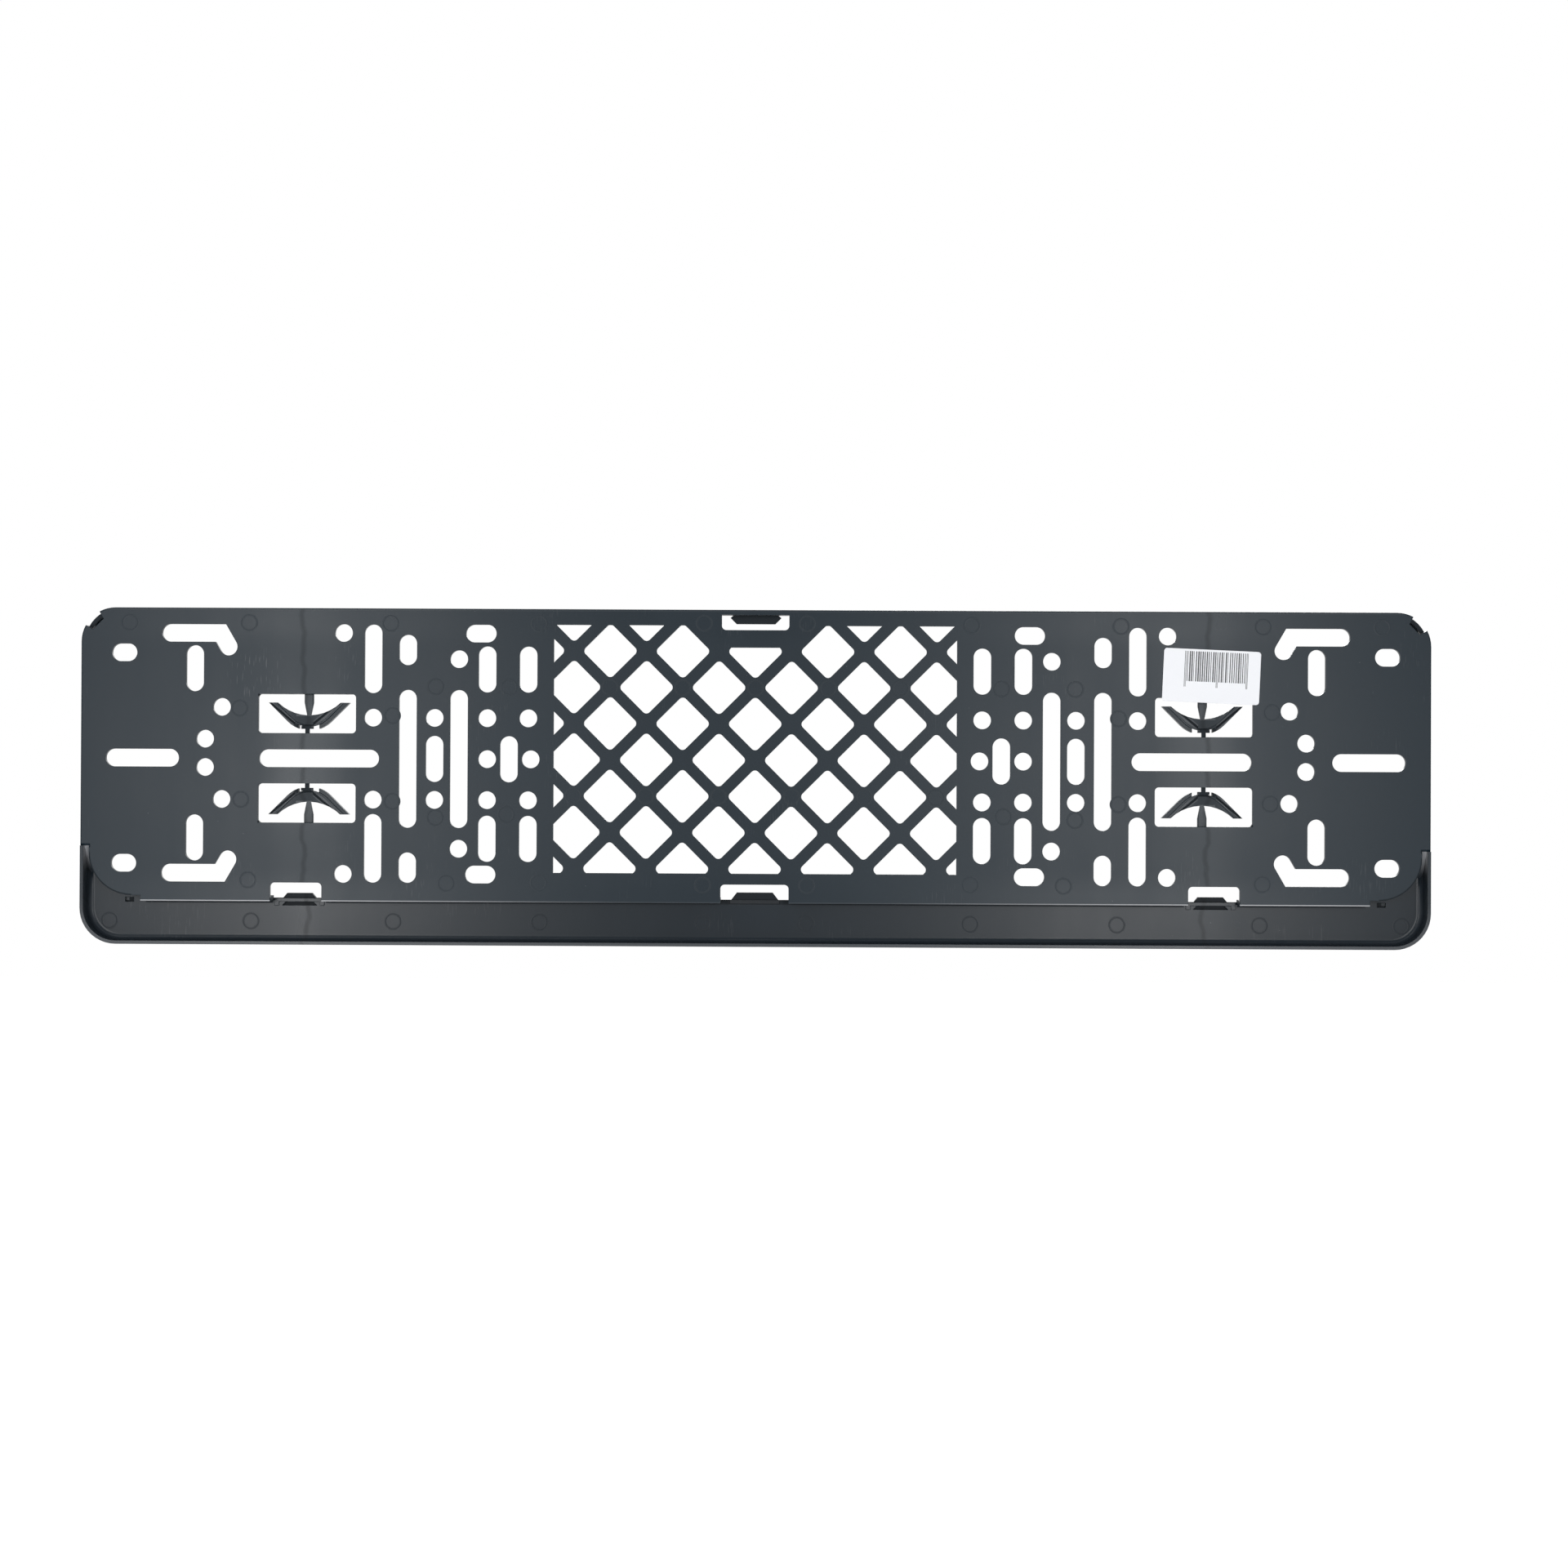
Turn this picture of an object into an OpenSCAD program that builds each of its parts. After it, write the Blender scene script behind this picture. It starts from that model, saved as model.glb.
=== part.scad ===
// Holder for a European car number plate: a moulded base plate that is bolted to the car,
// a strip that clips on below the plate, and a stuck-on label.
// The back face lies in y = 0 and looks along +Y, the front looks along -Y, +Z is up and
// the origin is on the back face at the middle of the hole pattern.

/* [Number plate] */
// Width of the number plate that the holder carries
plate_w = 520; // [515:0.5:530]
// Height of the number plate
plate_h = 110; // [108:0.5:118]
// Free space between each end of the plate and the rim
side_play = 4.9; // [4:0.1:6]
// Free space above the plate
top_play = 2.7; // [1:0.1:5]
// Height of the hole pattern's middle above the shelf that the plate stands on
shelf_drop = 54.9; // [53:0.1:57]

/* [Base plate] */
// Depth of the holder from the back face to the front
depth = 11; // [10.2:0.1:14]
// Thickness of the perforated panel
panel_t = 2; // [1.5:0.1:2.8]
// Thickness of the rim wall
rim_t = 1.6; // [1.2:0.1:2]
// Outer radius of the upper corners
corner_r = 13.5; // [12.5:0.1:16]
// Rounding of the rim's front edge
front_edge_r = 1.2; // [0.4:0.1:1.2]
// Rounding of the rim's back edge
back_edge_r = 0.5; // [0.2:0.1:0.8]
// Thickness of the shelf under the plate and of the walls round the lower corners
shelf_t = 1.6; // [1:0.1:2]
// Distance of the shelf's ends from the outer faces of the rim
shelf_end_gap = 23.9; // [20:0.1:30]
// Radius of the lower corners of the panel
lower_corner_r = 17; // [12:0.1:18]
// Height of the panel's lower edge beside the shelf above the shelf's underside
side_edge_rise = 2.2; // [1.2:0.1:2.6]
// Gap between an end of the shelf and the wall round the corner
corner_wall_gap = 7.3; // [4:0.1:8]
// Distance of the rim's lower ends below the middle of the pattern
rim_end_drop = 34.8; // [30:0.1:36]
// Chamfer at the rim's lower ends
rim_end_chamfer = 0.8; // [0.3:0.1:1.2]
// Set-back of the panel's sides beside the strip's arms
panel_inset = 3.4; // [2.6:0.1:4.5]

/* [Front lips] */
// Thickness of the lips that hold the plate from the front
lip_t = 2.2; // [1.2:0.1:2.4]
// Width of the middle lip at its root
top_lip_root_w = 17.8; // [16:0.1:18]
// Largest width of the middle lip
top_lip_w = 20.2; // [19:0.1:24]
// Width of the middle lip at its end
top_lip_end_w = 15.4; // [12:0.1:17]
// Reach of the middle lip below the rim
top_lip_reach = 3.4; // [2.6:0.1:5]
// Height of the slanted ends of the middle lip
top_lip_slant_h = 2.4; // [1.6:0.1:2.5]
// Width of the opening behind the middle lip
top_window_w = 26.6; // [25:0.1:30]
// Height of the opening behind the middle lip
top_window_h = 6; // [5:0.1:8]
// Panel left between that opening and the rim
top_window_margin = 0.4; // [0.2:0.1:1]
// Corner radius of the openings behind the lips
lip_window_r = 1.8; // [0.8:0.1:2.2]
// Width of a corner notch at the rim
corner_notch_w = 8; // [7:0.1:9]
// Width of a corner notch at its inner end
corner_notch_end_w = 6; // [5:0.1:6.8]
// Distance of a corner notch's inner end from the centre of the corner radius
corner_notch_chord = 9.7; // [8:0.1:10.4]
// Width of a corner lip at its inner end
corner_lip_end_w = 4.6; // [3:0.1:4.9]
// Depth from the back face to which the rim is cut at the corner notches
corner_notch_depth = 6; // [4:0.1:7]

/* [Lattice] */
// Width across one diamond and one bar of the lattice, along X
lattice_pitch = 28.65; // [24:0.05:32]
// Width of the lattice bars
lattice_bar = 4.6; // [3.5:0.1:6]
// Corner radius of the diamonds
lattice_r = 1.8; // [0.8:0.1:3]
// Half of the width of the lattice field
lattice_half_w = 79.6; // [74:0.1:82]
// Height of the lattice field above the middle of the pattern
lattice_top = 53.2; // [50:0.1:54]
// Depth of the lattice field below the middle of the pattern
lattice_drop = 44.8; // [40:0.1:46]
// Height of the lower edge of the solid band under the middle lip
band_under_lip_z = 44.5; // [42:0.1:46]

/* [Bolt holes] */
// Diameter of the bolt holes and width of the slots
hole_d = 7; // [5:0.1:7.4]
// Distance from the middle to the first column of holes
column_1 = 89.6; // [88:0.1:90]
// Distance from the middle to the hole beside the first column
column_1_mid = 88.6; // [87:0.1:88.8]
// Distance from the middle to the short slot between the first two columns
column_1_slot = 97.2; // [96.8:0.1:97.6]
// Distance from the middle to the second column of holes
column_2 = 105.8; // [105.6:0.1:106.4]
// Distance from the middle to the small horizontal slots
column_2_slot = 108.3; // [107:0.1:109.5]
// Distance from the middle to the third column of holes
column_3 = 117; // [116.6:0.1:117.2]
// Distance from the middle to the fourth column of holes
column_4 = 126.6; // [126.2:0.1:127]
// Distance from the middle to the fifth column, which holds long slots
column_5 = 137.2; // [136.6:0.1:139]
// Distance from the middle to the sixth column of holes
column_6 = 150.9; // [149:0.1:151.6]
// Distance from the middle to the single holes at the top and the bottom
column_7 = 162.6; // [161:0.1:164]
// Distance from the middle to the long horizontal slots
column_8 = 172.2; // [168:0.1:176]
// Distance from the middle to the holes beside the windows
column_9 = 210.7; // [208:0.1:212]
// Distance from the middle to the close pair of holes
column_9_pair = 217.3; // [215:0.1:219]
// Distance from the middle to the last column of vertical slots
column_10 = 221.4; // [220:0.1:222]
// Distance from the middle to the end slots
column_11 = 242.1; // [240:0.1:244]
// Distance from the middle to the corner slots
column_12 = 249.3; // [248:0.1:252]
// Height of the rows next to the middle
row_1 = 16.2; // [15.2:0.1:17]
// Height of the corner slots
row_corner = 41.6; // [40:0.1:43]
// Height of the short slots in the fifth column
row_5 = 43; // [42:0.1:44.4]
// Height of the middle of the raised rows
raised_z = 2; // [1:0.1:2.6]
// Distance of the medium slots from the raised middle
raised_slot = 33.45; // [33:0.05:34]
// Distance of the holes and the long slots from the raised middle
raised_hole = 37.45; // [36:0.05:38]
// Distance of the outermost holes from the raised middle
raised_outer = 47.6; // [47:0.1:48.2]
// Distance of the holes beside the windows from the raised middle
raised_side = 18.2; // [17:0.1:19]
// Distance of the close pair from the raised middle
raised_pair = 5.6; // [5.2:0.1:6.2]
// Length of the short vertical slots
slot_short = 18.2; // [14:0.1:18.6]
// Length of the longest vertical slots
slot_tall = 54.5; // [40:0.1:55.5]
// Length of the vertical slots in the sixth column
slot_medium = 27.1; // [20:0.1:27.6]
// Length of the small slots
slot_small = 12; // [9:0.1:12.6]
// Length of the slots between the windows
slot_window = 47.4; // [30:0.1:52]
// Length of the end slots
slot_end = 29; // [20:0.1:32]
// Length of the corner slots
slot_corner = 10; // [8:0.1:14]

/* [Bent slots] */
// Distance from the middle to the outer end of a bent slot
bent_outer = 231; // [228:0.1:236]
// Distance from the middle to the bend
bent_knee = 211.3; // [210:0.1:214]
// Distance of a bent slot from the raised middle
bent_offset = 47.4; // [47:0.1:48]
// Length of the slanted leg between its end centres
bent_leg = 6.2; // [4:0.1:7]
// Slope of the slanted leg
bent_angle = 60; // [50:1:70]

/* [Windows] */
// Distance from the middle to the centre of a window
window_x = 177; // [176.4:0.1:177.6]
// Height of a window's centre
window_z = 17.7; // [17:0.1:19]
// Width of a window
window_w = 38.6; // [37:0.1:39.4]
// Height of a window
window_h = 15.5; // [15:0.1:17]
// Corner radius of a window
window_r = 1.6; // [0.8:0.1:3]
// Thickness of the rib along a window that carries its spring
spring_rib_t = 1.2; // [0.8:0.1:1.4]
// Depth of that rib from the back face
spring_rib_depth = 5.6; // [5:0.1:7]

/* [Bow springs] */
// Distance between the tips of a bow
bow_span = 32; // [28:0.1:34]
// Radius of the bow's outer edge
bow_outer_r = 12; // [11:0.1:13]
// Radius of the bow's inner edge
bow_inner_r = 18; // [16:0.1:22]
// Height of the inner edge's curve
bow_sag = 5; // [4:0.1:5.6]
// Distance of the tips from the window's edge
bow_tip_gap = 3.3; // [2.8:0.1:3.6]
// Thickness of the bow's web
bow_web_t = 1.3; // [1:0.1:1.8]
// Width of the bow's outer flange
bow_flange_w = 1.8; // [1.2:0.1:2.4]
// Depth of the flange's front edge, which presses on the plate
bow_flange_depth = 7.6; // [6.6:0.1:8]
// Width of the break in the middle of the flange
bow_break_w = 8.2; // [6:0.1:10]
// Width of the rib between web and flange
bow_rib_w = 0.7; // [0.5:0.1:1]
// Height of the rib
bow_rib_h = 0.6; // [0.3:0.1:1]
// Width of the stem where it leaves the rib
stem_root_w = 3.6; // [2.6:0.1:5]
// Width of the stem where it meets the bow
stem_end_w = 1.6; // [1.2:0.1:2.4]
// Width of the stop's stem
stop_stem_w = 1.6; // [1.2:0.1:2]
// Length of the stop's stem
stop_stem_l = 1.7; // [1:0.1:1.8]
// Width of the stop's head
stop_head_w = 4.7; // [4:0.1:5.4]
// Thickness of the stop's head
stop_head_t = 1.15; // [0.8:0.05:1.2]
// Set-back of the stop from the back face
stop_set_back = 0.5; // [0.2:0.1:0.8]

/* [Lower strip] */
// Height of the strip's front band
band_h = 18.2; // [16:0.1:26]
// Reach of the band's upper edge above the shelf's underside
band_lap = 1.1; // [0.4:0.1:1.3]
// Thickness of the strip's wall at the back
strip_wall = 1.3; // [1:0.1:1.6]
// How far the strip stands out past the rim
strip_proud = 0.1; // [0:0.1:0.8]
// Outer radius of the strip's corners
strip_corner_r = 14.3; // [12:0.1:16]
// Radius of the fillet inside the strip
strip_fillet_r = 2.4; // [1.6:0.1:2.8]
// Rounding of the strip's front edge
strip_edge_r = 1.5; // [0.6:0.1:1.6]
// Clearance between the strip and the base plate
seat_gap = 0.3; // [0.2:0.05:0.4]
// Width of the front edge of the strip's arms
arm_w = 4; // [3.6:0.1:4.6]
// Radius of the band's inner corners
inner_corner_r = 15.5; // [12:0.1:20]
// Height of the ramp inside each arm
arm_ramp_h = 11; // [8:0.1:13]
// Depth of the arm's floor at its upper end
arm_floor_depth = 1.6; // [1:0.1:3]

/* [Strip tabs] */
// Width of the middle tab at its root
mid_tab_root_w = 19.5; // [17:0.1:21]
// Width of the middle tab at its end
mid_tab_end_w = 14.3; // [12:0.1:16]
// Height of the middle tab
mid_tab_h = 2.9; // [1.8:0.1:3]
// Width of the notch behind the middle tab
mid_notch_w = 26.9; // [24:0.1:30]
// Distance from the middle to the side tabs
side_tab_x = 181.2; // [180:0.1:184]
// Width of a side tab at its root
side_tab_root_w = 13.9; // [12:0.1:16]
// Width of a side tab at its end
side_tab_end_w = 9.9; // [8:0.1:11]
// Height of a side tab
side_tab_h = 1.9; // [1:0.1:2.5]
// Width of the notch behind a side tab
side_notch_w = 20.4; // [18:0.1:22]
// Height of the notches above the shelf
notch_h = 5.8; // [5:0.1:6]
// Corner radius of the notches
notch_r = 1.7; // [0.8:0.1:2]
// Thickness of the pads at the roots of the tabs
pad_t = 0.5; // [0.3:0.1:0.8]
// Height of the middle pad, of the side pads' feet and of the pockets between them
pad_h = 1.5; // [1.2:0.1:2.4]
// Height of the side pads above their feet
pad_drop = 1.5; // [0.8:0.1:2]
// Width of a foot of a side pad
pad_foot_w = 1.8; // [1:0.1:3]
// Width of a corner recess in the band
corner_recess_w = 3.4; // [2.4:0.1:4]
// Height of a corner recess
corner_recess_h = 1.8; // [1.2:0.1:2.4]
// Distance from the end of the shelf to a corner recess
corner_recess_gap = 4.7; // [3:0.1:5]
// Depth of the corner recesses
recess_depth = 1.4; // [0.6:0.1:1.6]
// Width of the gate mark on the strip's lower edge
gate_w = 9.7; // [8:0.1:12]
// Height of the gate mark
gate_h = 0.5; // [0.2:0.1:0.6]
// Distance of the gate mark from the middle
gate_x = 4.6; // [0:0.1:8]

/* [Label] */
// Width of the label
label_w = 38.3; // [34:0.1:42]
// Height of the label
label_h = 21; // [18:0.1:24]
// Corner radius of the label
label_r = 1.3; // [0.6:0.1:2]
// Thickness of the label with its adhesive
label_t = 0.2; // [0.15:0.05:0.3]
// Distance of the label's centre from the middle
label_x = 179.9; // [176:0.1:184]
// Height of the label's centre
label_z = 33.9; // [33:0.1:36]
// Tilt of the label
label_tilt = 2.4; // [0:0.2:4]
// Free space round the label in its seat, which is as deep as the label is thick
label_play = 0.1; // [0.05:0.05:0.3]

/* [Hidden] */
$fn = 64;

// Overlap that joins pieces of one solid, and reach of a cut past a face
eps = panel_t / 4;

// Places worked out from the sizes above, all measured from the middle of the pattern
rim_half_w = plate_w / 2 + side_play + rim_t;
shelf_z = -shelf_drop;
shelf_bottom = shelf_z - shelf_t;
side_edge_z = shelf_bottom + side_edge_rise;
shelf_half_l = rim_half_w - shelf_end_gap;
corner_wall_x = shelf_half_l + corner_wall_gap;
low_arc_x = rim_half_w - panel_inset - lower_corner_r;
low_arc_z = side_edge_z + lower_corner_r;
rim_inner_top = shelf_z + plate_h + top_play;
rim_top = rim_inner_top + rim_t;
rim_end_z = -rim_end_drop;
panel_low_half_w = rim_half_w - panel_inset;
lip_depth = depth - lip_t;
shelf_depth = lip_depth - seat_gap;

corner_x = rim_half_w - corner_r;
corner_z = rim_top - corner_r;

strip_half_w = rim_half_w + strip_proud;
band_top = shelf_bottom + band_lap;
strip_bottom = band_top - band_h;
arm_top = rim_end_z;
arm_inner_half_w = strip_half_w - arm_w;
side_pad_w = side_notch_w - 2 * seat_gap;

// Depth of the bow's parts from the back face
bow_back = spring_rib_depth - bow_web_t;
bow_wing = bow_outer_r * sin(45);
bow_centre = 2 * bow_wing - bow_span / 2;

column_lattice = lattice_pitch / 2;
diamond_side = lattice_pitch * sin(45) - lattice_bar;

/* Helpers */

// A 2D outline made solid between two depths measured from the back face
module slab(near, far) {
    translate([0, -near, 0])
        rotate([90, 0, 0])
            linear_extrude(far - near)
                children();
}

module both_sides() {
    children();
    mirror([1, 0, 0]) children();
}

// Above and below a given height
module above_and_below(middle, offset_z) {
    for (way = [-1, 1])
        translate([0, middle + way * offset_z])
            children();
}

module rounded_rect(w, h, r) {
    square([w - 2 * r, h], center = true);
    square([w, h - 2 * r], center = true);
    for (sx = [-1, 1], sz = [-1, 1])
        translate([sx * (w / 2 - r), sz * (h / 2 - r)])
            circle(r);
}

module slot_across(l) {
    square([l - hole_d, hole_d], center = true);
    for (way = [-1, 1])
        translate([way * (l - hole_d) / 2, 0])
            circle(d = hole_d);
}

module slot_upright(l) {
    rotate(90) slot_across(l);
}

// A tab that narrows from its root at z = 0 to its end at z = h
module taper(root_w, end_w, h) {
    polygon([
        [-root_w / 2, 0],
        [root_w / 2, 0],
        [end_w / 2, h],
        [-end_w / 2, h]
    ]);
}

// What is left of a square corner outside a rounding of radius r
module corner_waste(r) {
    difference() {
        translate([-eps, -eps]) square(r + eps);
        translate([r, r]) circle(r);
    }
}

// Carries a wall section up one side, round two corners and along the edge at z = reach.
// In the section x is the distance inwards from the outer face and y is the depth.
module wall_run(half_w, foot_z, reach, r) {
    both_sides() {
        translate([half_w, 0, foot_z])
            rotate([0, 0, 180])
                linear_extrude(reach - r - foot_z)
                    children();
        translate([half_w - r, 0, reach - r])
            rotate([90, 0, 0])
                rotate_extrude(angle = 90)
                    translate([r, 0]) mirror([1, 0]) children();
    }
    translate([0, 0, reach])
        rotate([0, 90, 180])
            linear_extrude(2 * (half_w - r), center = true)
                children();
}

/* Base plate */

module rim_section() {
    difference() {
        square([rim_t, depth]);
        translate([0, depth]) mirror([0, 1]) corner_waste(front_edge_r);
        corner_waste(back_edge_r);
    }
}

// The panel's outline, which ends inside the rim wall
module panel_outline() {
    inset = rim_t / 2;
    r = corner_r - inset;
    upper_half_w = rim_half_w - inset;
    upper_top = rim_top - inset;
    translate([-upper_half_w, rim_end_z])
        square([2 * upper_half_w, upper_top - r - rim_end_z]);
    translate([-corner_x, rim_end_z])
        square([2 * corner_x, upper_top - rim_end_z]);
    for (side = [-1, 1]) {
        translate([side * corner_x, corner_z]) circle(r);
        translate([side * low_arc_x, low_arc_z]) circle(lower_corner_r);
    }
    translate([-panel_low_half_w, low_arc_z])
        square([2 * panel_low_half_w, rim_end_z - low_arc_z + eps]);
    translate([-low_arc_x, side_edge_z])
        square([2 * low_arc_x, rim_end_z - side_edge_z + eps]);
    translate([-shelf_half_l, shelf_bottom + eps])
        square([2 * shelf_half_l, side_edge_rise]);
}

module lattice_diamond() {
    rotate(45) rounded_rect(diamond_side, diamond_side, lattice_r);
}

// Diamonds on every other point of a square grid, cut off by the edges of the field.
// A solid band stays under the middle lip.
module lattice_openings() {
    columns = ceil(lattice_half_w / column_lattice);
    rows_down = ceil(lattice_drop / column_lattice);
    rows_up = ceil(lattice_top / column_lattice);
    band_half_w = top_window_w / 2 + lattice_bar;
    difference() {
        intersection() {
            translate([-lattice_half_w, -lattice_drop])
                square([2 * lattice_half_w, lattice_top + lattice_drop]);
            union() {
                for (k = [-columns:columns], j = [-rows_down:rows_up]) {
                    x = k * column_lattice;
                    z = j * column_lattice;
                    behind_lip = abs(x) < band_half_w && z > band_under_lip_z;
                    if ((k + j) % 2 != 0 && !behind_lip)
                        translate([x, z]) lattice_diamond();
                }
            }
        }
        translate([-band_half_w, band_under_lip_z])
            square([2 * band_half_w, rim_top - band_under_lip_z]);
    }
}

module column_of_round_holes() {
    translate([column_1_mid, 0]) circle(d = hole_d);
    translate([column_2, 0]) circle(d = hole_d);
    for (x = [column_1, column_2, column_4, column_6])
        translate([x, 0]) above_and_below(0, row_1) circle(d = hole_d);
    translate([column_3, 0]) above_and_below(raised_z, raised_hole) circle(d = hole_d);
    translate([column_7, 0]) above_and_below(raised_z, raised_outer) circle(d = hole_d);
    translate([column_9, 0]) above_and_below(raised_z, raised_side) circle(d = hole_d);
    translate([column_9_pair, 0]) above_and_below(raised_z, raised_pair) circle(d = hole_d);
}

module upright_slots() {
    for (x = [column_1, column_2, column_10])
        translate([x, 0]) above_and_below(raised_z, raised_slot) slot_upright(slot_short);
    for (x = [column_1_slot, column_4])
        translate([x, 0]) slot_upright(slot_short);
    for (x = [column_3, column_5])
        translate([x, 0]) slot_upright(slot_tall);
    translate([column_5, 0]) above_and_below(0, row_5) slot_upright(slot_small);
    translate([column_6, 0]) above_and_below(raised_z, raised_hole) slot_upright(slot_medium);
}

module level_slots() {
    translate([column_2_slot, 0]) above_and_below(raised_z, raised_outer) slot_across(slot_small);
    translate([column_8, 0]) slot_across(slot_window);
    translate([column_11, 0]) slot_across(slot_end);
    translate([column_12, 0]) above_and_below(0, row_corner) slot_across(slot_corner);
}

// The slanted leg's bar, which starts at the given distance before the bend
module slanted_bar(before) {
    translate([bent_knee, 0])
        rotate(180 + bent_angle)
            translate([-before, -hole_d / 2])
                square([bent_leg + before, hole_d]);
}

// A level leg with a slanted one at its inner end; the bars' overlap makes the mitre
module bent_slot() {
    translate([bent_outer, 0]) circle(d = hole_d);
    translate([bent_knee, -hole_d / 2]) square([bent_outer - bent_knee, hole_d]);
    intersection() {
        translate([bent_knee - hole_d, -hole_d / 2]) square([2 * hole_d, hole_d]);
        slanted_bar(hole_d);
    }
    slanted_bar(0);
    translate([bent_knee, 0])
        rotate(180 + bent_angle)
            translate([bent_leg, 0]) circle(d = hole_d);
}

module bent_slots() {
    translate([0, raised_z + bent_offset]) bent_slot();
    translate([0, raised_z - bent_offset]) mirror([0, 1]) bent_slot();
}

module window_openings() {
    translate([window_x, 0])
        above_and_below(0, window_z) rounded_rect(window_w, window_h, window_r);
}

// Ribs along the long edges of the windows that lie away from the middle
module spring_ribs() {
    translate([window_x, 0])
        above_and_below(0, window_z + (window_h + spring_rib_t) / 2)
            square([window_w, spring_rib_t], center = true);
}

// An opening whose lower corners are round
module top_window() {
    upper = rim_inner_top - top_window_margin;
    translate([0, upper - top_window_h / 2])
        rounded_rect(top_window_w, top_window_h, lip_window_r);
    translate([-top_window_w / 2, upper - top_window_h / 2])
        square([top_window_w, top_window_h / 2]);
}

// A notch that is open downwards, with round upper corners
module notch_outline(w) {
    h = notch_h + shelf_t + 2 * eps;
    translate([0, shelf_z + notch_h - h / 2])
        rounded_rect(w, h, notch_r);
    translate([-w / 2, shelf_z + notch_h - h])
        square([w, h / 2]);
}

// Places a shape on the diagonal of the right upper corner, with x along the diagonal
module on_corner_diagonal() {
    translate([corner_x, corner_z]) rotate(45) children();
}

module corner_notch() {
    slope = (corner_notch_w - corner_notch_end_w) / (corner_r - corner_notch_chord);
    reach = corner_r + 2 * eps;
    outer_w = corner_notch_end_w + slope * (reach - corner_notch_chord);
    on_corner_diagonal()
        polygon([
            [corner_notch_chord, -corner_notch_end_w / 2],
            [reach, -outer_w / 2],
            [reach, outer_w / 2],
            [corner_notch_chord, corner_notch_end_w / 2]
        ]);
}

module corner_lip() {
    root = corner_r - rim_t / 2;
    on_corner_diagonal()
        polygon([
            [corner_notch_chord, -corner_lip_end_w / 2],
            [root, -corner_notch_end_w / 2],
            [root, corner_notch_end_w / 2],
            [corner_notch_chord, corner_lip_end_w / 2]
        ]);
}

// Widest a little above its end, and narrower again where it joins the rim
module top_lip() {
    end_z = rim_inner_top - top_lip_reach;
    shoulder_z = end_z + top_lip_slant_h;
    polygon([
        [-top_lip_end_w / 2, end_z],
        [top_lip_end_w / 2, end_z],
        [top_lip_w / 2, shoulder_z],
        [top_lip_root_w / 2, rim_inner_top],
        [top_lip_root_w / 2, rim_inner_top + rim_t / 2],
        [-top_lip_root_w / 2, rim_inner_top + rim_t / 2],
        [-top_lip_root_w / 2, rim_inner_top],
        [-top_lip_w / 2, shoulder_z]
    ]);
}

// The region inside a bow's outer edge, moved inwards by a given amount.
// The tips lie on y = 0 and the bow hangs below them.
module bow_region(inward) {
    r = bow_outer_r - inward;
    wing = r * sin(45);
    tip = bow_span / 2 - inward / sin(45);
    intersection() {
        union() {
            translate([0, bow_centre]) circle(r);
            polygon([
                [-tip, 0],
                [-wing, bow_centre - wing],
                [wing, bow_centre - wing],
                [tip, 0]
            ]);
        }
        translate([-bow_span, -bow_span]) square([2 * bow_span, bow_span]);
    }
}

module bow_hollow() {
    translate([0, bow_inner_r - bow_sag]) circle(bow_inner_r);
}

module bow_flange_outline() {
    difference() {
        bow_region(0);
        bow_region(bow_flange_w);
        bow_hollow();
        translate([-bow_break_w / 2, -bow_span]) square([bow_break_w, bow_span]);
    }
}

// Crescent-shaped web with the flange's foot, which has the same break
module bow_web_outline() {
    difference() {
        bow_region(0);
        bow_hollow();
        difference() {
            translate([-bow_break_w / 2, -bow_span]) square([bow_break_w, bow_span]);
            bow_region(bow_flange_w);
        }
    }
}

module bow_rib_outline() {
    difference() {
        bow_region(bow_flange_w - bow_rib_w / 2);
        bow_region(bow_flange_w + bow_rib_w / 2);
        bow_hollow();
    }
}

// The stem runs from the rib to the bow and narrows below the tips
module stem_outline() {
    root_z = bow_tip_gap + spring_rib_t / 2;
    polygon([
        [-stem_root_w / 2, root_z],
        [-stem_root_w / 2, 0],
        [-stem_end_w / 2, -bow_sag],
        [-stem_end_w / 2, -bow_sag - bow_flange_w],
        [stem_end_w / 2, -bow_sag - bow_flange_w],
        [stem_end_w / 2, -bow_sag],
        [stem_root_w / 2, 0],
        [stem_root_w / 2, root_z]
    ]);
}

module stop_outline() {
    foot = bow_tip_gap - window_h;
    translate([-stop_stem_w / 2, foot - eps])
        square([stop_stem_w, stop_stem_l + 2 * eps]);
    translate([-stop_head_w / 2, foot + stop_stem_l])
        square([stop_head_w, stop_head_t]);
}

// The spring of an upper window, which presses the number plate forward
module bow_spring() {
    translate([window_x, 0, window_z + window_h / 2 - bow_tip_gap]) {
        slab(bow_back, spring_rib_depth) bow_web_outline();
        slab(bow_back, spring_rib_depth) stem_outline();
        slab(bow_back, bow_flange_depth) bow_flange_outline();
        slab(bow_back - bow_rib_h, bow_back + eps) bow_rib_outline();
        slab(stop_set_back, panel_t) stop_outline();
    }
}

module bow_springs() {
    both_sides() {
        bow_spring();
        mirror([0, 0, 1]) bow_spring();
    }
}

// The panel's lower corner up to the rim's end, for a given radius
module lower_corner_region(r) {
    translate([low_arc_x, low_arc_z]) circle(r);
    translate([low_arc_x, low_arc_z]) square([r, rim_end_z - low_arc_z]);
}

// Wall inside the edge of that corner, which keeps the plate in the middle
module lower_corner_wall() {
    intersection() {
        difference() {
            lower_corner_region(lower_corner_r);
            lower_corner_region(lower_corner_r - shelf_t);
        }
        translate([corner_wall_x, side_edge_z])
            square([lower_corner_r, rim_end_z - side_edge_z - rim_end_chamfer]);
    }
}

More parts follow.
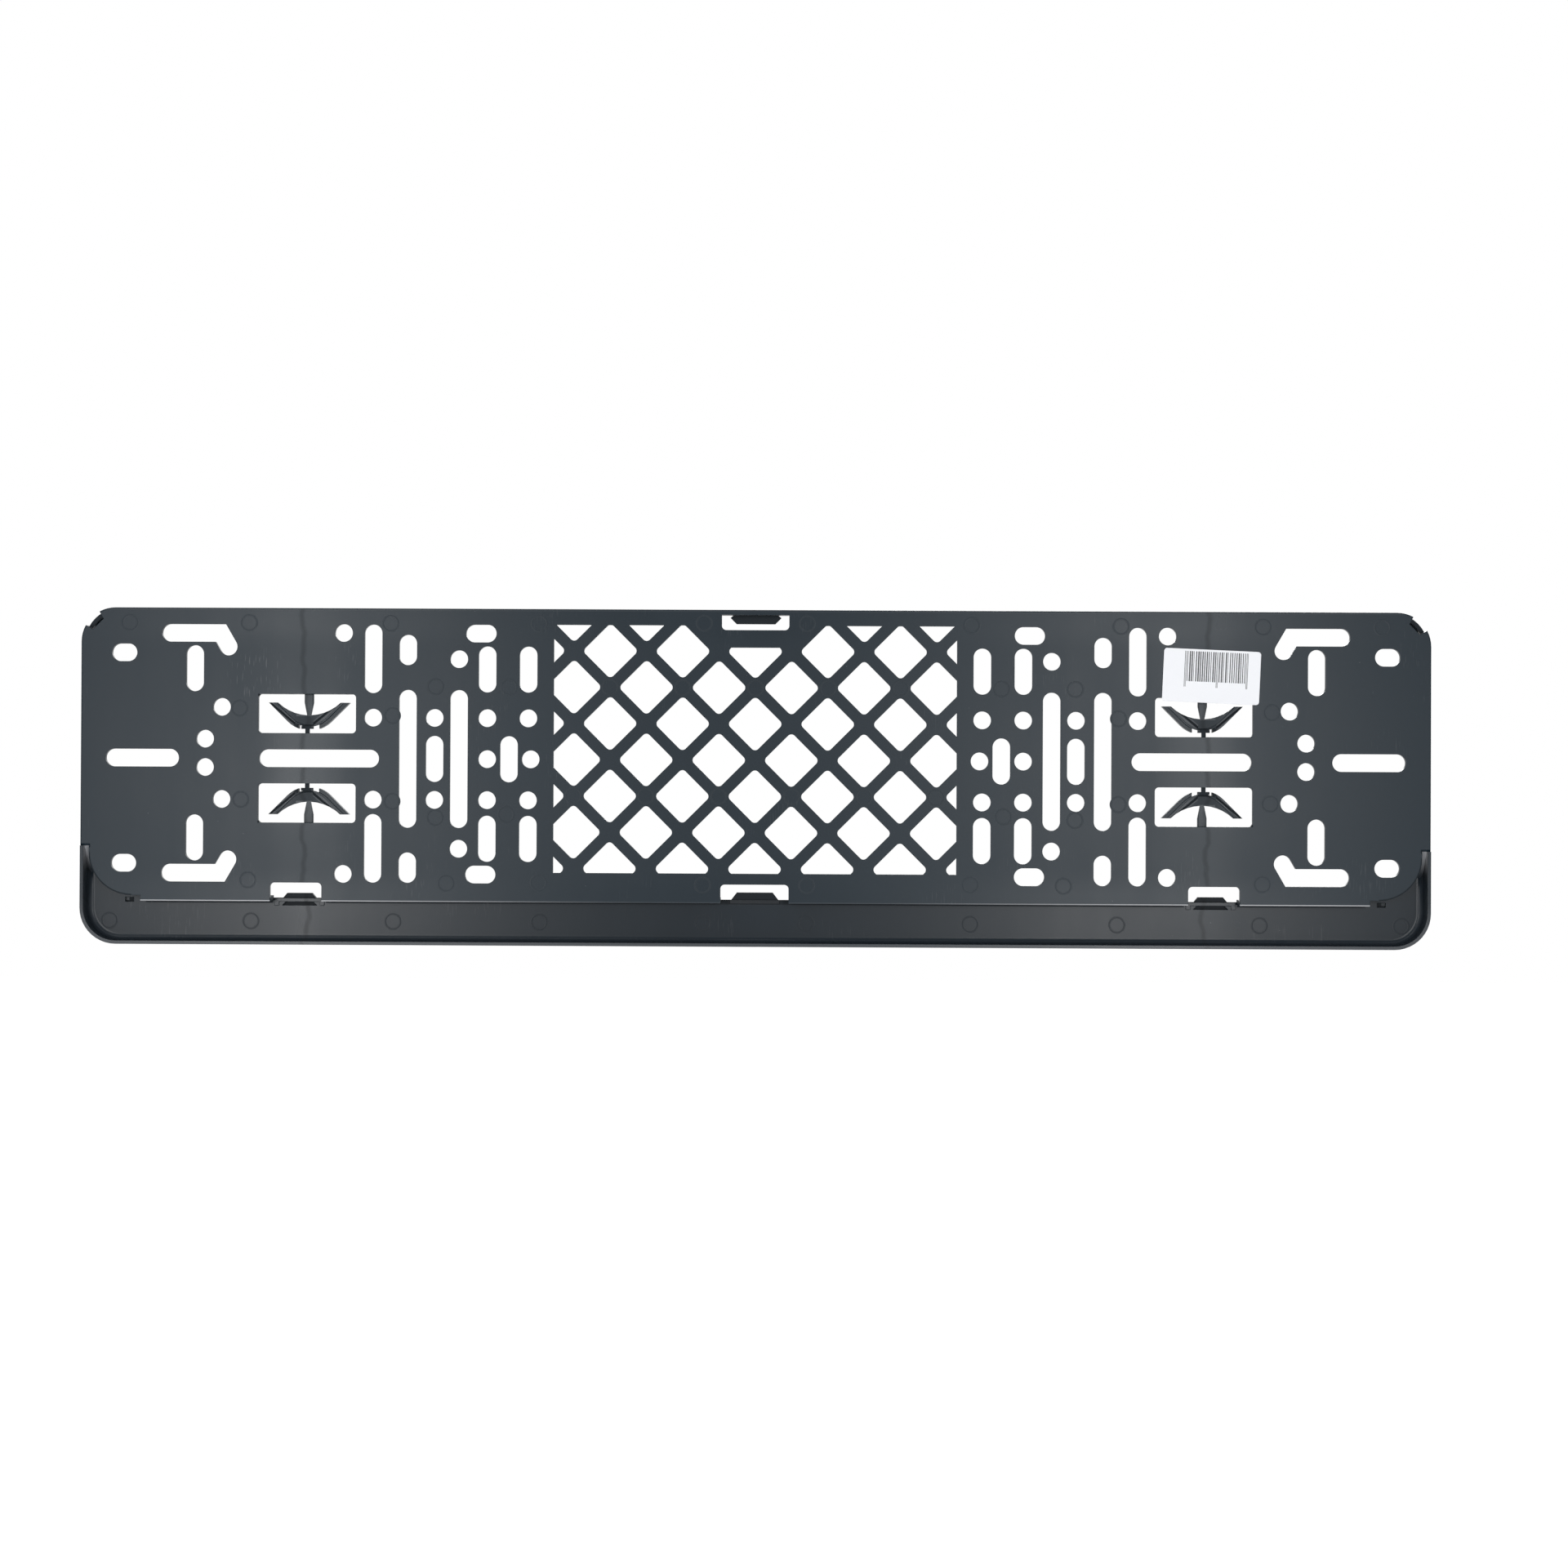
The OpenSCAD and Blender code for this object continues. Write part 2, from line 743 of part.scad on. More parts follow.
// Shelf under the plate, open where the strip's tabs pass
module shelf() {
    difference() {
        slab(0, shelf_depth)
            translate([-shelf_half_l, shelf_bottom])
                square([2 * shelf_half_l, shelf_t + eps]);
        slab(-eps, depth) notch_outline(mid_notch_w);
        both_sides()
            translate([side_tab_x, 0, 0])
                slab(-eps, depth) notch_outline(side_notch_w);
    }
}

module panel_openings() {
    lattice_openings();
    both_sides() {
        column_of_round_holes();
        upright_slots();
        level_slots();
        bent_slots();
        window_openings();
    }
    top_window();
    notch_outline(mid_notch_w);
    both_sides() translate([side_tab_x, 0]) notch_outline(side_notch_w);
}

module rim_end_chamfers() {
    both_sides()
        translate([rim_half_w - panel_inset / 2, 0, rim_end_z])
            rotate([45, 0, 0])
                cube([panel_inset + 2 * eps, rim_end_chamfer * sqrt(2), rim_end_chamfer * sqrt(2)],
                    center = true);
}

module base_plate() {
    color([0.27, 0.29, 0.31]) {
        difference() {
            union() {
                slab(0, panel_t)
                    difference() {
                        panel_outline();
                        panel_openings();
                    }
                wall_run(rim_half_w, rim_end_z, rim_top, corner_r) rim_section();
                shelf();
                both_sides() {
                    slab(panel_t - eps, spring_rib_depth) spring_ribs();
                    slab(panel_t - eps, shelf_depth) lower_corner_wall();
                }
                slab(lip_depth, depth) top_lip();
            }
            both_sides() slab(-eps, corner_notch_depth) corner_notch();
            rim_end_chamfers();
            slab(-eps, label_t) label_outline(label_play);
        }
        both_sides() slab(lip_depth, depth) corner_lip();
        bow_springs();
    }
}

/* Lower strip */

// Wall and front edge of the strip with the fillet between them
module strip_section() {
    difference() {
        square([arm_w, depth]);
        translate([strip_wall, -eps])
            square([arm_w, lip_depth - strip_fillet_r + eps]);
        translate([strip_wall + strip_fillet_r, -eps])
            square([arm_w, lip_depth + eps]);
        translate([strip_wall + strip_fillet_r, lip_depth - strip_fillet_r])
            circle(strip_fillet_r);
        translate([0, depth]) mirror([0, 1]) corner_waste(strip_edge_r);
    }
}

// Front band between the walls, with round inner corners that hold the plate's corners
module band_outline() {
    inset = arm_w / 2;
    r = strip_corner_r - inset;
    half_w = strip_half_w - inset;
    arc_x = half_w - r;
    arc_z = strip_bottom + strip_corner_r;
    inner_arc_x = arm_inner_half_w - inner_corner_r;
    inner_arc_z = band_top + inner_corner_r;
    translate([-half_w, arc_z]) square([2 * half_w, band_top - arc_z]);
    translate([-arc_x, strip_bottom + inset]) square([2 * arc_x, band_h - inset]);
    for (side = [-1, 1])
        translate([side * arc_x, arc_z]) circle(r);
    for (side = [0, 1])
        mirror([side, 0])
            difference() {
                translate([inner_arc_x, band_top - eps])
                    square([half_w - inner_arc_x, inner_corner_r + eps]);
                translate([inner_arc_x, inner_arc_z]) circle(inner_corner_r);
            }
}

module tabs_outline() {
    translate([0, band_top - eps]) taper(mid_tab_root_w, mid_tab_end_w, mid_tab_h + eps);
    for (side = [-1, 1])
        translate([side * side_tab_x, band_top - eps])
            taper(side_tab_root_w, side_tab_end_w, side_tab_h + eps);
}

module pads_outline() {
    for (side = [-1, 1])
        translate([side * side_tab_x, band_top]) {
            translate([-side_pad_w / 2, -pad_drop]) square([side_pad_w, pad_drop]);
            for (foot = [0, 1])
                mirror([foot, 0])
                    translate([side_pad_w / 2 - pad_foot_w, -pad_drop - pad_h])
                        square([pad_foot_w, pad_h + eps]);
        }
    translate([-mid_tab_root_w / 2, band_top - pad_h])
        square([mid_tab_root_w, pad_h]);
}

// Corner recesses, and a pocket between the feet of each side pad
module recesses_outline() {
    x = shelf_half_l + corner_recess_gap + corner_recess_w / 2;
    for (side = [-1, 1])
        translate([side * x, band_top - corner_recess_h / 2])
            square([corner_recess_w, corner_recess_h], center = true);
    for (side = [-1, 1])
        translate([side * side_tab_x, band_top - pad_drop - pad_h])
            taper(side_tab_root_w, side_tab_root_w - 2 * pad_h, pad_h);
}

// Floor of each arm, which slopes from near the back face down to the band
module arm_ramp() {
    inner_x = panel_low_half_w + seat_gap;
    translate([inner_x, 0, 0])
        rotate([90, 0, 90])
            linear_extrude(strip_half_w - strip_wall / 2 - inner_x)
                polygon([
                    [-arm_floor_depth, arm_top],
                    [-lip_depth, arm_top - arm_ramp_h],
                    [-lip_depth - eps, arm_top - arm_ramp_h],
                    [-lip_depth - eps, arm_top]
                ]);
}

module lower_strip() {
    color([0.25, 0.27, 0.29]) {
        difference() {
            union() {
                mirror([0, 0, 1])
                    wall_run(strip_half_w, -arm_top, -strip_bottom, strip_corner_r)
                        strip_section();
                slab(lip_depth, depth) band_outline();
                slab(lip_depth, depth) tabs_outline();
                slab(lip_depth - pad_t, lip_depth + eps) pads_outline();
                both_sides() arm_ramp();
            }
            slab(lip_depth - eps, lip_depth + recess_depth) recesses_outline();
        }
        slab(lip_depth, depth - strip_edge_r)
            translate([gate_x - gate_w / 2, strip_bottom - gate_h])
                square([gate_w, gate_h + eps]);
    }
}

/* Label */

module label_outline(play) {
    translate([-label_x, label_z])
        rotate(label_tilt)
            rounded_rect(label_w + 2 * play, label_h + 2 * play, label_r + play);
}

module adhesive_label() {
    color([0.95, 0.96, 0.98]) slab(0, label_t) label_outline(0);
}

base_plate();
lower_strip();
adhesive_label();
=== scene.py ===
"""Dresses the number plate holder: moulded plastic, printed label, ejector marks and stage."""

import math

import bpy
import numpy as np
from bpy.props import FloatProperty, FloatVectorProperty, IntProperty, PointerProperty
from mathutils import Matrix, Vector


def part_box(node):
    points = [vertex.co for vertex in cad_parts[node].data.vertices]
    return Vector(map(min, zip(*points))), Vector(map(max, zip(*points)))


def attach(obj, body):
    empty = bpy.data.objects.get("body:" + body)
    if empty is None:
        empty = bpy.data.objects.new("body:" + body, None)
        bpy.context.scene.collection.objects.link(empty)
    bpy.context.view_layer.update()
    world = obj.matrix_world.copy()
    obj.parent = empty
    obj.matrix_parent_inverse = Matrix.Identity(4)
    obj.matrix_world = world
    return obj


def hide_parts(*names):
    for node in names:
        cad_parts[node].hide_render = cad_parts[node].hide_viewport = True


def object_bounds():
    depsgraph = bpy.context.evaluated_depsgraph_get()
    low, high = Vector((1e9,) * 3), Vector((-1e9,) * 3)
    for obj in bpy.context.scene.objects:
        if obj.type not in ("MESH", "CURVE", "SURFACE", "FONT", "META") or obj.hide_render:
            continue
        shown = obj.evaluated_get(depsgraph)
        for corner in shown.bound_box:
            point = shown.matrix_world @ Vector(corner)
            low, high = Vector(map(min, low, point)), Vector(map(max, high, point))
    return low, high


bl_info = {
    "name": "Number plate holder",
    "version": (1, 0, 0),
    "blender": (4, 5, 0),
    "location": "3D View > Sidebar > Holder",
    "description": "Finishes, label, ejector marks and stage of a moulded number plate holder",
    "category": "Object",
}

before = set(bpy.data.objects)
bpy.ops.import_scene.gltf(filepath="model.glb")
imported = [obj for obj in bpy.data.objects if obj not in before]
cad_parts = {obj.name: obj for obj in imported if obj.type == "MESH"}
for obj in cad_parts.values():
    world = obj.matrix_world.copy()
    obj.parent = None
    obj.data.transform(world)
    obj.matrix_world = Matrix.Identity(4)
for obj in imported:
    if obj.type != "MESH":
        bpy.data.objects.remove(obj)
CAD_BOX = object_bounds()
LABEL_LOW, LABEL_HIGH = (np.array(corner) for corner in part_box("adhesive_label"))
MM = 0.001
STRIP_FLOOR = -8.8 * MM

# Places on the mouldings that their materials follow, in millimetres, most of them for painted
# highlights and painted shade. A place beside the middle counts on both sides.
SHELF_LOW = -56.5
SHELF_HALF_L = 242.6
TOP_BAND = CAD_BOX[1][2] / MM - 0.9
PANEL_CORNER_R = 17.0
PANEL_CORNER_X, PANEL_CORNER_Z = 246.1, -37.3
WORN_PATCH = (197.0, 0.0, 33.0)
ARM_INNER_X = 261.5
ARM_LIGHT_LOW, ARM_LIGHT_HIGH = -45.0, -36.5
TAB_FOOT = -55.7
SIDE_CLIP_X, SIDE_CLIP_HALF_W = 181.2, 10.5
POCKET_Z, POCKET_HALF_H = -57.9, 1.2
CORNER_POCKET_X, CORNER_POCKET_Z, CORNER_POCKET_HALF_W = 247.1, -55.9, 2.2
POCKET_LOW_Y, POCKET_HIGH_Y = -10.4, -8.95
# Heights of the painted shadow on the strip's floor under the shelf.
SHELF_SHADOW_LOW, SHELF_SHADOW_HIGH = -57.6, -57.1

# A bow spring, as distances from its own middle and from the holder's middle line.
BOW_X = 178.9
BOW_HALF_L = 17.5
BOW_LOW, BOW_HIGH = 9.95, 25.5
FOOT_HIGH, FOOT_HALF_W = 13.5, 4.2
STEM_LOW, STEM_HALF_W = 16.8, 3.2
WING_START, WING_BESIDE_STEM = 3.6, 4.4
WING_LOW, WING_SLOPE, WING_STRETCH = 8.7, 0.83, 1.3
OUTER_RIDGE, GROOVE, INNER_RIDGE = (0.6, 0.42), (1.6, 0.42), (2.3, 0.22)

# A pale grey for dust, scratches and painted highlights on the plastic.
DUST_SCRATCH_AND_HIGHLIGHT_GREY = (0.35, 0.36, 0.38, 1.0)
BASE_SEED, STRIP_SEED = 11.0, 37.0
WHITE = (1.0, 1.0, 1.0, 1.0)
LAMPS = (
    ("softbox_left", (0.38, 1.05, 0.0), (0.18, 0.0, 0.0), (0.12, 0.36), 3.5),
    ("softbox_right", (-0.29, 1.05, 0.0), (-0.15, 0.0, 0.0), (0.12, 0.36), 3.4),
    ("lamp_above", (0.45, 0.9, 0.9), (0.0, 0.0, 0.0), (0.4, 0.4), 1.6),
    ("lamp_below", (0.0, 0.6, -0.9), (0.0, 0.0, -0.05), (1.2, 0.12), 1.6),
    ("lamp_front", (-0.35, -1.0, 0.45), (0.0, 0.0, 0.0), (0.6, 0.5), 7.0),
)


class Link:
    """A socket of a node tree. An expression on links and numbers adds Math nodes."""

    def __init__(self, graph, socket):
        self.graph = graph
        self.socket = socket

    def math(self, operation, *others):
        """The result of a Math node on this link and the others."""
        values = dict(enumerate((self,) + others))
        return self.graph.node("ShaderNodeMath", {"operation": operation}, values)

    def __add__(self, other):
        return self.math("ADD", other)

    __radd__ = __add__

    def __mul__(self, other):
        return self.math("MULTIPLY", other)

    __rmul__ = __mul__

    def __sub__(self, other):
        return self.math("SUBTRACT", other)

    def __rsub__(self, other):
        return self.graph.node("ShaderNodeMath", {"operation": "SUBTRACT"}, {0: other, 1: self})

    def __truediv__(self, other):
        return self.math("DIVIDE", other)

    def __lt__(self, other):
        return self.math("LESS_THAN", other)

    def __gt__(self, other):
        return self.math("GREATER_THAN", other)

    def __abs__(self):
        return self.math("ABSOLUTE")

    def floor(self):
        """The whole number below."""
        return self.math("FLOOR")

    def at_most(self, highest):
        """This, or the highest value where this is more."""
        return self.math("MINIMUM", highest)

    def between(self, low, high):
        """1 where this lies between low and high, otherwise 0."""
        return (self > low) * (self < high)

    def near(self, middle, reach):
        """1 where this is less than reach away from middle, otherwise 0."""
        return abs(self - middle) < reach

    def ramp(self, low, high, out_low=0.0, out_high=1.0):
        """Smoothly from out_low at low to out_high at high, and level beyond them."""
        settings = {"interpolation_type": "SMOOTHSTEP", "clamp": True}
        values = {
            "Value": self, "From Min": low, "From Max": high, "To Min": out_low, "To Max": out_high
        }
        return self.graph.node("ShaderNodeMapRange", settings, values)


class Graph:
    """The cleared node tree of a material or a world, with one method that adds any node."""

    def __init__(self, owner):
        owner.use_nodes = True
        self.owner = owner
        self.tree = owner.node_tree
        self.tree.nodes.clear()

    def node(self, kind, settings=None, values=None, out=0):
        """Adds a node, sets its settings, then its sockets, and returns one of its outputs."""
        node = self.tree.nodes.new(kind)
        for key, value in (settings or {}).items():
            setattr(node, key, value)
        for key, value in (values or {}).items():
            if isinstance(value, Link):
                self.tree.links.new(value.socket, node.inputs[key])
            else:
                node.inputs[key].default_value = value
        return Link(self, node.outputs[out]) if len(node.outputs) else None

    def millimetres(self):
        """Object coordinates in millimetres."""
        place = self.node("ShaderNodeTexCoord", out="Object")
        settings = {"operation": "SCALE"}
        return self.node("ShaderNodeVectorMath", settings, {0: place, "Scale": 1 / MM})

    def split(self, vector):
        """The three parts of a vector as links."""
        first = self.node("ShaderNodeSeparateXYZ", None, {0: vector}, "X")
        parts = first.socket.node.outputs
        return first, Link(self, parts["Y"]), Link(self, parts["Z"])

    def stretched(self, vector, scale):
        """The vector with each of its parts multiplied."""
        return self.node("ShaderNodeVectorMath", {"operation": "MULTIPLY"}, {0: vector, 1: scale})

    def moved(self, vector, offset):
        """The vector with an offset added."""
        return self.node("ShaderNodeVectorMath", {"operation": "ADD"}, {0: vector, 1: offset})

    def noise(self, vector, size, detail=2.0, roughness=0.5):
        """Noise around 0.5 whose features are about size across."""
        values = {"Vector": vector, "Scale": 1 / size, "Detail": detail, "Roughness": roughness}
        return self.node("ShaderNodeTexNoise", None, values, "Fac")

    def mixed(self, factor, first, second):
        """A colour between two colours."""
        values = {0: factor, 6: first, 7: second}
        return self.node("ShaderNodeMix", {"data_type": "RGBA"}, values, 2)

    def scaled(self, colour, factor):
        """A colour made lighter or darker by a factor."""
        values = {0: colour, "Scale": factor}
        return self.node("ShaderNodeVectorMath", {"operation": "SCALE"}, values)

    def finish(self, values):
        """Closes the material with a Principled shader that has these values."""
        shader = self.node("ShaderNodeBsdfPrincipled", None, values)
        self.node("ShaderNodeOutputMaterial", None, {"Surface": shader})
        return self.owner


def colour_property(name, description, default):
    """A colour that a user may change."""
    return FloatVectorProperty(
        name=name, description=description, default=default, subtype="COLOR", size=3, min=0.0,
        max=1.0
    )


def length_property(name, description, default):
    """A length in metres that a user may change."""
    return FloatProperty(
        name=name, description=description, default=default, min=0.0, subtype="DISTANCE",
        unit="LENGTH", precision=5
    )


def number_property(name, description, default, low=0.0, high=1.0):
    """A plain number that a user may change."""
    return FloatProperty(name=name, description=description, default=default, min=low, max=high)


class PlasticSettings(bpy.types.PropertyGroup):
    """Look of the moulded plastic"""

    base_colour: colour_property(
        "Base plate", "Colour of the base moulding", (0.0085, 0.0162, 0.0236)
    )
    strip_colour: colour_property("Strip", "Colour of the lower strip", (0.0026, 0.008, 0.0138))
    roughness: number_property("Roughness", "Roughness of the moulded faces", 0.34)
    shine: number_property("Shine", "Specular level of the base plate", 0.16)
    strip_shine: number_property("Strip shine", "Specular level of the strip", 0.19)
    edge_radius: length_property("Edge radius", "Softness of the moulded edges", 0.00025)
    flow_line_x: length_property(
        "Flow line", "Distance of the flow lines from the middle", 0.1785
    )


class MarkSettings(bpy.types.PropertyGroup):
    """Ring marks that the ejector pins leave"""

    ring_radius: length_property("Radius", "Radius of a ring mark", 0.003)
    ring_width: length_property("Width", "Width of a ring's ridge", 0.0005)
    ring_height: length_property("Height", "Height of a ring's ridge", 0.000016)
    ring_sides: IntProperty(name="Sides", description="Points around a ring", default=48, min=16)
    paler: number_property("Paler", "How much paler a mark is than its moulding", 0.017)
    shine_share: number_property("Shine share", "Share of its moulding's specular level", 0.5)


class LabelSettings(bpy.types.PropertyGroup):
    """The stuck-on label and its printed bars"""

    width: length_property("Width", "Width of the label", 0.0383)
    height: length_property("Height", "Height of the label", 0.021)
    corner: length_property("Corner radius", "Radius of the label's corners", 0.0013)
    tilt: FloatProperty(
        name="Tilt", description="Turn of the label", default=math.radians(2.4), subtype="ANGLE"
    )
    paper: colour_property("Paper", "Colour of the label paper", (0.88, 0.895, 0.93))
    ink: colour_property("Ink", "Colour of the printed bars", (0.045, 0.045, 0.05))
    bars_width: length_property("Bars width", "Width of the field of bars", 0.0252)
    bars_height: length_property("Bars height", "Height of the field of bars", 0.0119)


class StageSettings(bpy.types.PropertyGroup):
    """Camera, lamps and floor"""

    camera_place: FloatVectorProperty(
        name="Camera", description="Place of the camera", default=(-0.01695, 1.05, -0.01543),
        subtype="XYZ", unit="LENGTH"
    )
    camera_yaw: FloatProperty(
        name="Yaw", description="Turn to the side", default=0.0052, subtype="ANGLE"
    )
    camera_pitch: FloatProperty(
        name="Pitch", description="Turn upwards", default=0.00586, subtype="ANGLE"
    )
    camera_roll: FloatProperty(
        name="Roll", description="Turn about the view", default=-0.00463, subtype="ANGLE"
    )
    lens: FloatProperty(
        name="Lens", description="Focal length in millimetres", default=61.1, min=1.0
    )
    floor_drop: length_property("Floor drop", "Distance of the floor below the holder", 0.42)
    floor_half_w: length_property("Floor size", "Half the width of the floor", 6.0)
    ambient: number_property("Ambient", "Strength of the even light", 0.4, high=4.0)


def mesh_piece(name, places, faces, material):
    """An object with these points in metres and faces, which rides on the root body."""
    mesh = bpy.data.meshes.new(name)
    mesh.from_pydata(places, [], faces)
    mesh.validate()
    mesh.materials.append(material)
    piece = bpy.data.objects.new(name, mesh)
    bpy.context.scene.collection.objects.link(piece)
    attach(piece, "root")
    return piece


def shade_smooth(piece):
    """Makes every face of a piece smooth."""
    piece.data.polygons.foreach_set("use_smooth", np.ones(len(piece.data.polygons), bool))


def quads(ring, next_ring, step, next_step, count):
    """The corners of the faces between rings of count points: out, on, and back in."""
    corners = [(ring, step), (ring, next_step), (next_ring, next_step), (next_ring, step)]
    return np.stack([i * count + j for i, j in corners], -1)


def ring_marks(places, depth, settings):
    """Low round ridges in a ring, one at every place.

    A ridge is a closed profile of distances from the mark's middle and heights over the face,
    turned once about the mark's axis: up from the inner side, over the ridge, down, and back
    under the face.
    """
    width, height = settings.ring_width, settings.ring_height
    reach = settings.ring_radius + width * np.array([-0.8, -0.4, 0.0, 0.4, 0.8, 0.0])
    rise = height * np.array([0.1, 0.8, 1.0, 0.8, 0.1, -0.5])
    around = np.linspace(0, 2 * math.pi, settings.ring_sides, endpoint=False)
    x = places[:, 0, None, None] + reach[:, None] * np.cos(around)
    z = places[:, 1, None, None] + reach[:, None] * np.sin(around)
    y = np.broadcast_to(depth + rise[:, None], x.shape)
    points = np.stack([x, y, z], -1).reshape(-1, 3)
    rings, count = len(reach), len(around)
    mark, i, j = np.meshgrid(
        np.arange(len(places)), np.arange(rings), np.arange(count), indexing="ij"
    )
    start = mark * rings * count
    faces = quads(i, (i + 1) % rings, j, (j + 1) % count, count) + start[..., None]
    return points, faces.reshape(-1, 4).tolist()


def rounded_outline(width, height, radius, corner_points=13):
    """Points round a rectangle with round corners.

    A point is its corner's centre plus the radius times (cos, sin) of an angle that runs once
    round, a quarter turn at each corner. The straight sides join the last point of one corner to
    the next.
    """
    quarter = math.pi / 2
    angle = np.linspace(0, quarter, corner_points) + np.arange(4)[:, None] * quarter
    side = np.array([1, -1, -1, 1])[:, None] * (width / 2 - radius)
    level = np.array([1, 1, -1, -1])[:, None] * (height / 2 - radius)
    places = [side + radius * np.cos(angle), level + radius * np.sin(angle)]
    return np.stack(places, -1).reshape(-1, 2)


def bow_spring_painted_light(along, height):
    """Painted highlight and painted shade on a bow spring, along from its middle and at a height.

    It is painted darker as shade, and made rougher, at its middle and most of all at its foot, but
    its stem isn't. Along each wing a groove painted dark as shadow runs between two ridges painted
    lighter as highlights, at set distances from the wing's straight outer edge.
    That edge climbs by its slope for each millimetre along, so a place's distance from it is its
    height over the edge divided by the edge's own length for each millimetre along.
    """
    ridge_highlight, groove_shadow, foot_shadow = 0.11, 1.2, 0.6
    window = (along < BOW_HALF_L) * height.between(BOW_LOW, BOW_HIGH)
    over_foot = height > STEM_LOW
    wing = window * (along > WING_START) * (1 - over_foot * (along < WING_BESIDE_STEM))
    from_edge = (height - WING_LOW - WING_SLOPE * along) / WING_STRETCH
    # A painted shadow in each wing's groove and painted highlights on the ridges beside it.
    groove = from_edge.near(*GROOVE) * wing
    ridges = (from_edge.near(*OUTER_RIDGE) + from_edge.near(*INNER_RIDGE)) * wing
    stem = over_foot * (along < STEM_HALF_W)
    foot = (height < FOOT_HIGH) * (along < FOOT_HALF_W)
    # Painted shade at the spring's middle and its foot, but not its stem.
    spring = window * (1 - stem) * (along.ramp(2.0, 9.0, 0.42, 0.1) + foot * foot_shadow)
    return ridges * ridge_highlight, spring + groove * groove_shadow


def base_painted_light(x, y, z):
    """Painted highlight and painted shade on the base plate.

    Its lower back edge has a painted glint, most of all near its ends, and its top a faint painted
    highlight. The round edges of its lower corners get a painted shadow, and the lips are painted
    darker with their depth, as shade. The plastic is also rougher where shade is painted.
    """
    back_skin, lip_height = -0.4, 27.0
    top_highlight, lip_shade, deepest_shade = 0.03, 0.7, 1.3
    beside, height = abs(x), abs(z)
    # Painted glint along the lower back edge of the shelf, strongest towards its ends.
    edge = (z - SHELF_LOW).ramp(0.4, 0.5, 1.0, 0.0) * (y > back_skin) * (beside < SHELF_HALF_L)
    edge_glint = edge * beside.ramp(40.0, 190.0, 0.06, 1.0)
    # Painted shadow along the round edges of the lower corners, where the panel meets the strip.
    across, below = beside - PANEL_CORNER_X, PANEL_CORNER_Z - z
    from_centre = (across * across + below * below).math("SQRT")
    corner_edge = from_centre.ramp(PANEL_CORNER_R - 0.7, PANEL_CORNER_R - 0.3)
    corner = (across > 0.0) * (below > 0.0) * corner_edge
    # Painted shade on the lips, darker the deeper they lie.
    lips = (height > lip_height) * (-1 * y).ramp(1.6, 3.6) * lip_shade
    bow_highlight, bow_shade = bow_spring_painted_light(abs(beside - BOW_X), height)
    # Painted highlight: the edge glint, the bow ridges and a faint one on the top band.
    painted_highlight = edge_glint + bow_highlight + (z > TOP_BAND) * top_highlight
    return painted_highlight, (bow_shade + lips + corner).at_most(deepest_shade)


def strip_painted_light(x, y, z):
    """Painted highlight and painted shade on the strip.

    The ramps in its arms have a painted highlight towards their upper ends, and its outer rim a
    little, most of all below, with a faint painted reflection on its inner side. The tabs above
    its floor, the pockets under them, those in its corners and the shadow under the shelf are
    painted dark as shade, and rougher.
    """
    arm_skin, rim_skin, rim_foot = -0.6, -0.5, -8.5
    rim_side_reflection = 0.045
    beside = abs(x)
    # Painted highlight on the arm ramps, towards their upper ends.
    arm_light = z.ramp(ARM_LIGHT_LOW, ARM_LIGHT_HIGH, 0.0, 0.8)
    arm = (beside > ARM_INNER_X) * (y < arm_skin) * arm_light
    # Painted highlight on the rim's face, strongest at the bottom.
    rim_face = (y > rim_skin) * z.ramp(-66.0, -54.0, 0.14, 0.03)
    # Faint painted reflection on the rim's inner side.
    rim_side = y.between(rim_foot, rim_skin) * rim_side_reflection
    under_shelf = beside < SHELF_HALF_L
    # Painted shade on the tabs above the floor, in the pockets under them and in the corner
    # pockets.
    tabs = (z > TAB_FOOT) * under_shelf
    under_tab = z.near(POCKET_Z, POCKET_HALF_H)
    in_corner = beside.near(CORNER_POCKET_X, CORNER_POCKET_HALF_W)
    in_corner = in_corner * z.near(CORNER_POCKET_Z, POCKET_HALF_H)
    pockets = y.between(POCKET_LOW_Y, POCKET_HIGH_Y) * (under_tab + in_corner)
    clear_of_clip = abs(beside - SIDE_CLIP_X) > SIDE_CLIP_HALF_W
    # Painted shadow on the floor just under the shelf's edge, clear of the side clips.
    shelf_shadow = y.between(-9.0, -8.0) * z.ramp(SHELF_SHADOW_LOW, SHELF_SHADOW_HIGH) * under_shelf * clear_of_clip
    return arm + rim_face + rim_side, (tabs + pockets + shelf_shadow).at_most(1.0)


